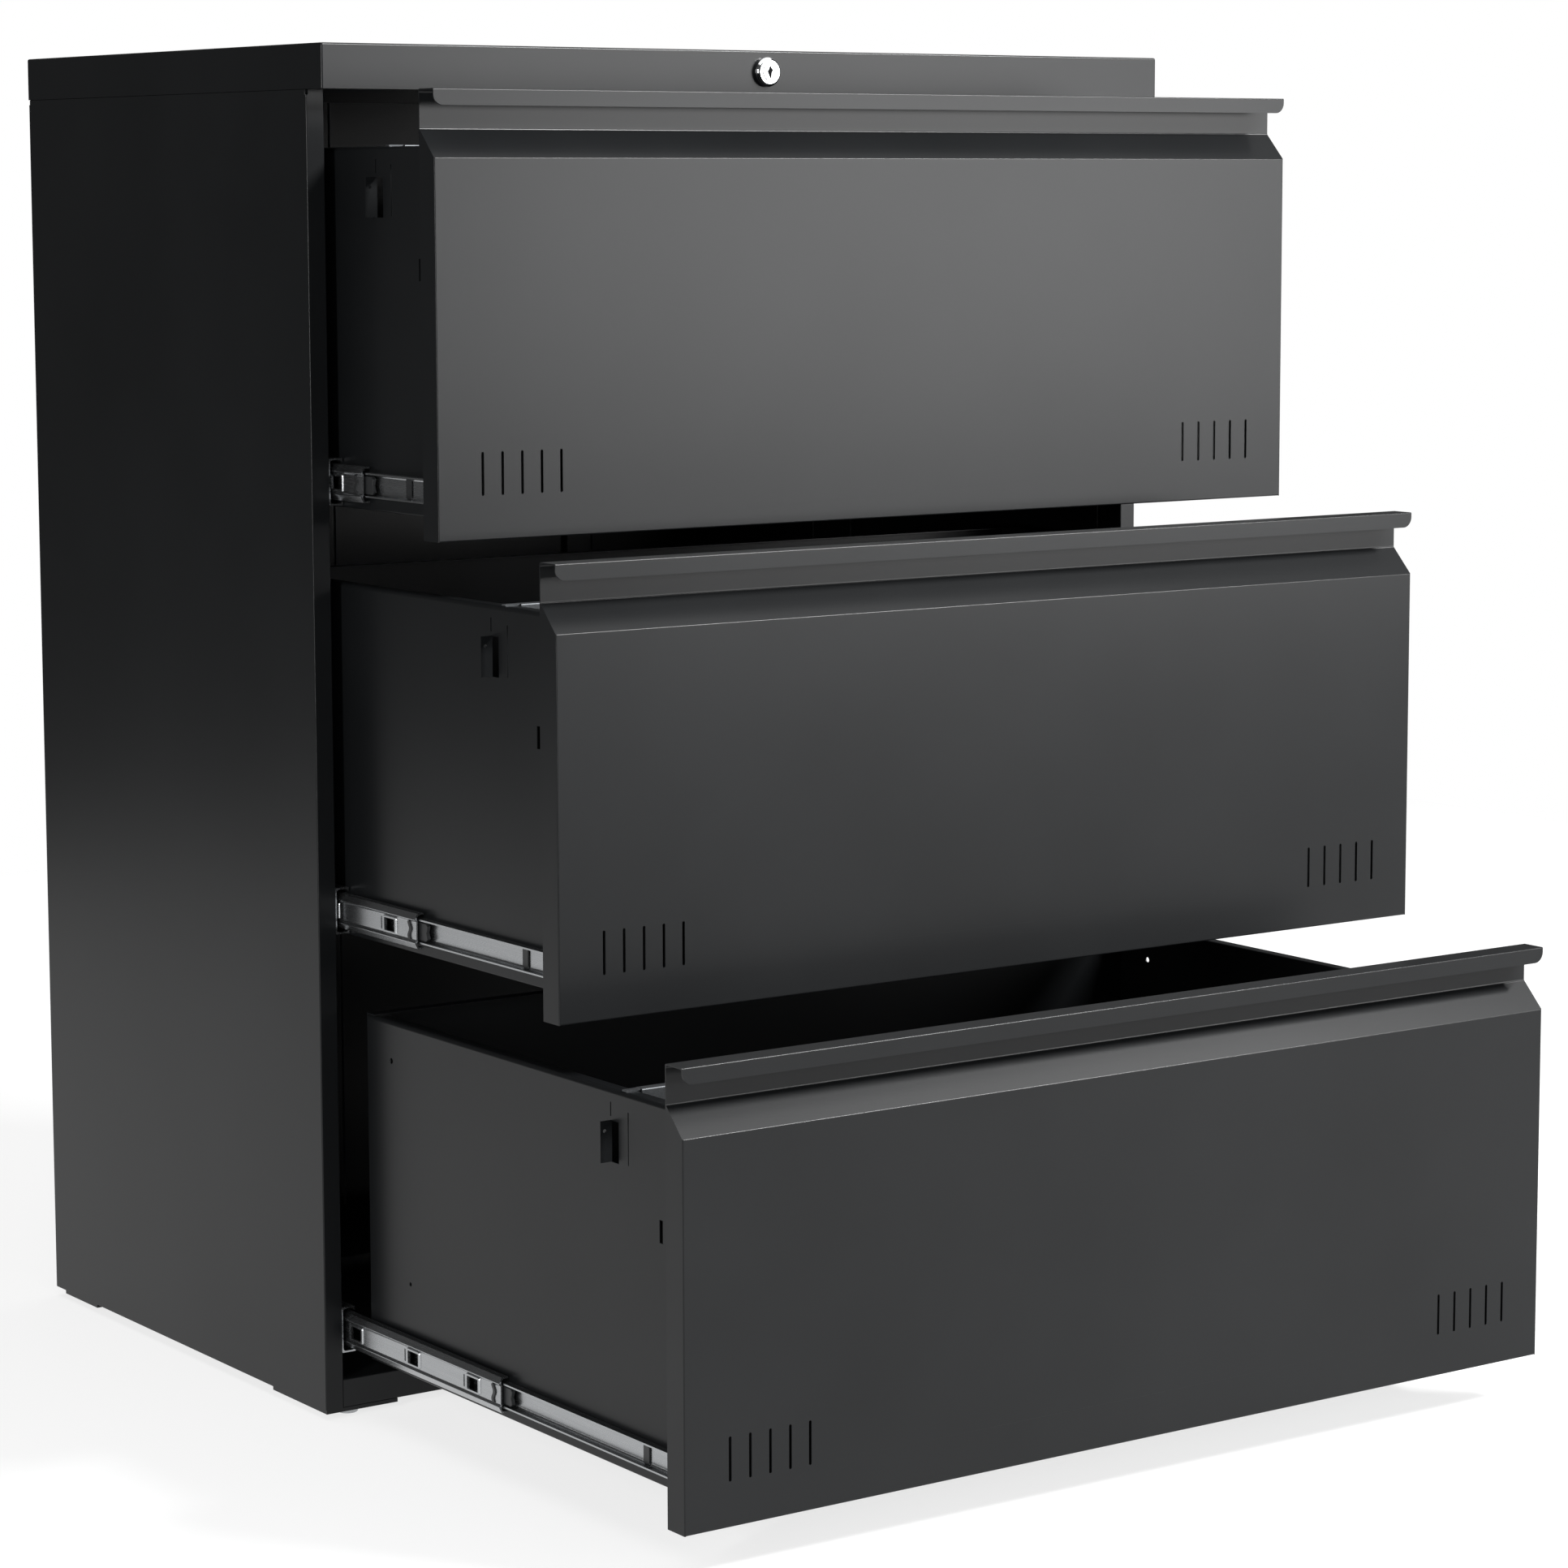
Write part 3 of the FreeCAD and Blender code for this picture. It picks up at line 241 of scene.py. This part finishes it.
MATERIAL = {
    "black_powder_coat": black_powder_coat(),
    "zinc_steel": zinc_plate("bright_zinc_plate", "#a2a4a6", "#aaacae", 0.25, 0.29),
    "chrome": polished_chrome(),
    "raw_steel": mill_steel(),
    "black_acetal": black_acetal(),
}
# The folder rails get a copy of the zinc that is rougher, and darkened as painted shade, so they are rougher
# and darker than the slides.
SHADED_RAIL_ZINC = zinc_plate("rail_zinc_painted_shade", "#4b4d4f", "#5a5c5e", 0.5, 0.6)
# Near-black paint for the plate that stands in for the keyway's shade.
KEYWAY_SHADE_MATERIAL = keyway_shade_black()
MATERIAL["bearing_steel"] = MATERIAL["zinc_steel"]
MATERIAL["foot_zinc"] = MATERIAL["zinc_steel"]
MATERIAL["dark_steel"] = MATERIAL["black_powder_coat"]


def coat_the_cad():
    """Gives every CAD node the material of its slot, but the folder rails a darker zinc, which is painted
    shade.
    """
    slot_of = {row["node"]: row["material_slot"] for row in frame["record"]["subparts"]}
    for name, shown in frame["nodes"].items():
        shown.data.materials.clear()
        rail = name.startswith("file_rail")
        # The folder rails' darker zinc is painted shade.
        shown.data.materials.append(SHADED_RAIL_ZINC if rail else MATERIAL[slot_of[name]])


coat_the_cad()


# ---------------------------------------------------------------- pieces on the slides and drawers

def left_or_right(side):
    """-1 for the left side of the cabinet and 1 for the right."""
    return -1 if side == "left" else 1


def rounded_rectangle(y, z, half_length, half_height, radius, steps=4):
    """Points round a rectangle with rounded corners, in the plane of the cabinet's side."""
    points = []
    for turn, (dy, dz) in enumerate(((1, 1), (-1, 1), (-1, -1), (1, -1))):
        for i in range(steps + 1):
            angle = math.radians(90 * turn + 90 * i / steps)
            points.append((y + dy * (half_length - radius) + radius * math.cos(angle),
                           z + dz * (half_height - radius) + radius * math.sin(angle)))
    return points


def add_ring(mesh, outer, inner, wall_x, raised_x, taper):
    """A pressed frame between two outlines of equal length: outer skirt, flat top and inner wall."""
    def loop(points, x):
        return [mesh.verts.new((x, y, z)) for y, z in points]

    def scaled(points, by):
        y0 = sum(y for y, _ in points) / len(points)
        z0 = sum(z for _, z in points) / len(points)
        return [(y0 + (y - y0) * by, z0 + (z - z0) * by) for y, z in points]

    loops = [loop(outer, wall_x), loop(scaled(outer, taper), raised_x), loop(inner, raised_x),
             loop(inner, wall_x)]
    count = len(outer)
    for a, b in zip(loops, loops[1:] + loops[:1]):
        for i in range(count):
            j = (i + 1) % count
            mesh.faces.new((a[i], a[j], b[j], b[i]))


def close_up(mesh, near, far):
    """Joins two matching outlines into a closed plate."""
    mesh.faces.new(near)
    mesh.faces.new(far[::-1])
    count = len(near)
    for i in range(count):
        j = (i + 1) % count
        mesh.faces.new((near[j], near[i], far[i], far[j]))


def add_plate(mesh, outline, x0, x1):
    """A flat plate with the given outline, from x0 to x1."""
    near = [mesh.verts.new((x0, y, z)) for y, z in outline]
    far = [mesh.verts.new((x1, y, z)) for y, z in outline]
    close_up(mesh, near, far)


def piece_from(name, mesh, material, body, soften=0.0):
    """Turns millimetres into a piece in metres, softens its sharp edges, and lets it ride with a body."""
    bmesh.ops.scale(mesh, vec=(MM, MM, MM), verts=mesh.verts)
    bmesh.ops.recalc_face_normals(mesh, faces=mesh.faces)
    if soften:
        sharp = [e for e in mesh.edges if e.calc_face_angle(0) > SHARP_EDGE]
        bmesh.ops.bevel(mesh, geom=sharp, offset=soften * MM, segments=2, profile=0.5, affect="EDGES",
                        clamp_overlap=True)
    data = bpy.data.meshes.new(name)
    mesh.to_mesh(data)
    mesh.free()
    piece = bpy.data.objects.new(name, data)
    bpy.context.scene.collection.objects.link(piece)
    data.materials.append(material)
    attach(piece, body)


def slide_front(drawer, side, member="middle"):
    """Front end and mid-height of a slide's middle or inner member, in millimetres."""
    low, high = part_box("slide_" + member + "_" + drawer + "_" + side)
    return low[1] / MM, (low[2] + high[2]) / 2 / MM


def pressed_windows(drawer, side):
    """The raised frame pressed round each window of a middle member."""
    front_y, middle_z = slide_front(drawer, side)
    out = left_or_right(side)
    web_x = out * WEB_X
    mesh = bmesh.new()
    for i in range(WINDOWS):
        y = front_y + FIRST_WINDOW + i * WINDOW_PITCH
        outer = rounded_rectangle(y, middle_z, WINDOW_HALF_LENGTH + FRAME_MARGIN_LENGTH,
                                  WINDOW_HALF_HEIGHT + FRAME_MARGIN_HEIGHT, FRAME_CORNER)
        inner = rounded_rectangle(y, middle_z, WINDOW_HALF_LENGTH, WINDOW_HALF_HEIGHT, WINDOW_CORNER)
        add_ring(mesh, outer, inner, web_x, web_x + out * PRESSED_HEIGHT, FRAME_TAPER)
    piece_from("window_frames_" + drawer + "_" + side, mesh, MATERIAL["zinc_steel"],
               "slide_middles_" + drawer)


def wavy_stop(drawer, side):
    """The moulded stop behind the front end of a middle member, with its wavy edges."""
    front_y, middle_z = slide_front(drawer, side)
    centre_y = front_y + STOP_BEHIND
    out = left_or_right(side)
    edges = {-1: [], 1: []}
    for edge in edges:
        for i in range(STOP_STEPS + 1):
            along = i / STOP_STEPS
            z = middle_z - STOP_HALF_HEIGHT + 2 * STOP_HALF_HEIGHT * along
            wave = WAVE_DEPTH * math.sin(along * HALF_WAVES * math.pi)
            edges[edge].append((centre_y + wave + edge * STOP_HALF_WIDTH, z))
    mesh = bmesh.new()
    web_x = out * WEB_X
    add_plate(mesh, edges[-1] + edges[1][::-1], web_x, web_x + out * PRESSED_HEIGHT)
    piece_from("end_stop_" + drawer + "_" + side, mesh, MATERIAL["black_acetal"], "slide_middles_" + drawer)


def cage_nose(drawer, side):
    """The moulded nose of the ball cage, which stands out of the middle member in the drawer member."""
    front_y, middle_z = slide_front(drawer, side)
    out = left_or_right(side)
    outline = [(front_y + back, middle_z + up) for back, up in NOSE_OUTLINE]
    mesh = bmesh.new()
    add_plate(mesh, outline, out * NOSE_X[0], out * NOSE_X[1])
    piece_from("cage_nose_" + drawer + "_" + side, mesh, MATERIAL["black_acetal"],
               "slide_middles_" + drawer, soften=NOSE_SOFTENING)


def release_lever(drawer, side):
    """The moulded lever in a drawer member that frees the drawer from its slide."""
    front_y, middle_z = slide_front(drawer, side, "inner")
    out = left_or_right(side)
    outline = rounded_rectangle(front_y + LEVER_BEHIND, middle_z, LEVER_HALF_LENGTH, LEVER_HALF_HEIGHT,
                                LEVER_CORNER)
    mesh = bmesh.new()
    add_plate(mesh, outline, out * LEVER_X[0], out * LEVER_X[1])
    piece_from("release_lever_" + drawer + "_" + side, mesh, MATERIAL["black_acetal"],
               "drawer_" + drawer, soften=LEVER_SOFTENING)


def slide_hook(drawer, side):
    """The stepped steel hook under the front of a drawer member, which holds it to the drawer's side."""
    corner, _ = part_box("drawer_side_" + drawer + "_" + side)
    out = left_or_right(side)
    outline = [(corner[1] / MM + back, corner[2] / MM + up) for back, up in HOOK_OUTLINE]
    mesh = bmesh.new()
    add_plate(mesh, outline, out * HOOK_X[0], out * HOOK_X[1])
    piece_from("slide_hook_" + drawer + "_" + side, mesh, MATERIAL["black_powder_coat"],
               "drawer_" + drawer, soften=HOOK_SOFTENING)


def painted_keyway_shade():
    """The painted keyway shade: a near-black plate across the keyway, a lozenge that tapers downwards."""
    low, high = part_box("lock_plug")
    front_y = low[1] / MM
    centre_z = (low[2] + high[2]) / 2 / MM
    mesh = bmesh.new()
    near, far = [], []
    for x, up in KEYWAY_SHADE_OUTLINE:
        near.append(mesh.verts.new((x, front_y - KEYWAY_SHADE_PROUD, centre_z + up)))
    for x, up in KEYWAY_SHADE_OUTLINE:
        far.append(mesh.verts.new((x, front_y + KEYWAY_SHADE_DEPTH, centre_z + up)))
    close_up(mesh, near, far)
    piece_from("painted_keyway_shade", mesh, KEYWAY_SHADE_MATERIAL, "lock")


# A near-black plate in the lock's face paints the keyway's shade.
painted_keyway_shade()
for drawer in DRAWERS:
    for side in SIDES:
        pressed_windows(drawer, side)
        wavy_stop(drawer, side)
        cage_nose(drawer, side)
        release_lever(drawer, side)
        slide_hook(drawer, side)


# ---------------------------------------------------------------- floor, light and camera

# Metres, watts and radians.
FLOOR_REACH = 2.6
FLOOR_GLOW = 0.76
DIM_WORLD = 0.08
# Each light's place, the point that it faces, its width and height, and its power.
LIGHTS = {
    "key": ((2.35, -3.3, 1.02), (0.0, -0.2, 0.7), 1.9, 1.2, 84.0),
    "strip_above": ((1.7, -2.3, 2.7), (0.0, -0.1, 0.8), 1.6, 0.22, 330.0),
    "strip_left": ((-3.4, -1.9, 1.2), (-0.3, -0.2, 0.6), 0.22, 1.9, 100.0),
    "overhead": ((0.2, -0.2, 3.3), (0.2, -0.2, 0.0), 4.0, 4.0, 95.0),
}
CAMERA_PLACE = (-1.947, -2.812, 0.925)
CAMERA_TURN = 0.6115
CAMERA_TIP = -0.122
CAMERA_ROLL = -0.0026
LENS_MM = 100.0
SENSOR_MM = 36.0
UPRIGHT_SHIFT = -0.04
FAR_CLIP = 100.0

def pale_floor():
    """A pale floor that glows a little, so that the cabinet's shadow on it stays faint."""
    mesh = bpy.data.meshes.new("floor")
    corners = [(-FLOOR_REACH, -FLOOR_REACH, 0), (FLOOR_REACH, -FLOOR_REACH, 0),
               (FLOOR_REACH, FLOOR_REACH, 0), (-FLOOR_REACH, FLOOR_REACH, 0)]
    mesh.from_pydata(corners, [], [(0, 1, 2, 3)])
    floor = bpy.data.objects.new("floor", mesh)
    bpy.context.scene.collection.objects.link(floor)
    made, tree, out, _ = new_material("pale_floor_paint")
    paint = node(tree, "ShaderNodeBsdfDiffuse", {"Color": srgb("#8c8c8c")})
    glow = node(tree, "ShaderNodeEmission", {"Color": srgb("#ffffff"), "Strength": FLOOR_GLOW})
    both = node(tree, "ShaderNodeAddShader", {0: paint.outputs["BSDF"], 1: glow.outputs["Emission"]})
    tree.links.new(both.outputs["Shader"], out.inputs["Surface"])
    mesh.materials.append(made)


def softbox(name, place, target, width, height, watts):
    """A soft rectangular light that faces a point."""
    data = bpy.data.lights.new(name, "AREA")
    data.shape = "RECTANGLE"
    data.size = width
    data.size_y = height
    data.energy = watts
    lamp = bpy.data.objects.new(name, data)
    bpy.context.scene.collection.objects.link(lamp)
    lamp.location = place
    lamp.rotation_euler = (Vector(target) - Vector(place)).to_track_quat("-Z", "Y").to_euler()


def studio():
    """White surroundings for the eye, and dim ones for what the black coat mirrors."""
    world = bpy.data.worlds.new("studio")
    bpy.context.scene.world = world
    world.use_nodes = True
    tree = world.node_tree
    tree.nodes.clear()
    seen = node(tree, "ShaderNodeBackground", {"Color": (1, 1, 1, 1), "Strength": 1.0})
    dim = node(tree, "ShaderNodeBackground", {"Color": (1, 1, 1, 1), "Strength": DIM_WORLD})
    path = node(tree, "ShaderNodeLightPath")
    mixed = node(tree, "ShaderNodeMixShader", {"Fac": path.outputs["Is Camera Ray"]})
    tree.links.new(dim.outputs[0], mixed.inputs[1])
    tree.links.new(seen.outputs[0], mixed.inputs[2])
    out = node(tree, "ShaderNodeOutputWorld")
    tree.links.new(mixed.outputs[0], out.inputs["Surface"])
    for name, light in LIGHTS.items():
        softbox(name, *light)


def three_quarter_camera():
    """The camera stands to the left of the drawers, a little below the top, and tips down slightly."""
    data = bpy.data.cameras.new("camera")
    data.sensor_width = SENSOR_MM
    data.lens = LENS_MM
    data.shift_y = UPRIGHT_SHIFT
    data.clip_end = FAR_CLIP
    camera = bpy.data.objects.new("camera", data)
    bpy.context.scene.collection.objects.link(camera)
    camera.location = CAMERA_PLACE
    ahead = Vector((math.sin(CAMERA_TURN) * math.cos(CAMERA_TIP),
                    math.cos(CAMERA_TURN) * math.cos(CAMERA_TIP), math.sin(CAMERA_TIP)))
    level = ahead.to_track_quat("-Z", "Y").to_matrix()
    camera.rotation_euler = (level @ Matrix.Rotation(CAMERA_ROLL, 3, "Z")).to_euler()
    bpy.context.scene.camera = camera


pale_floor()
studio()
three_quarter_camera()
bpy.context.scene.view_settings.view_transform = "Standard"
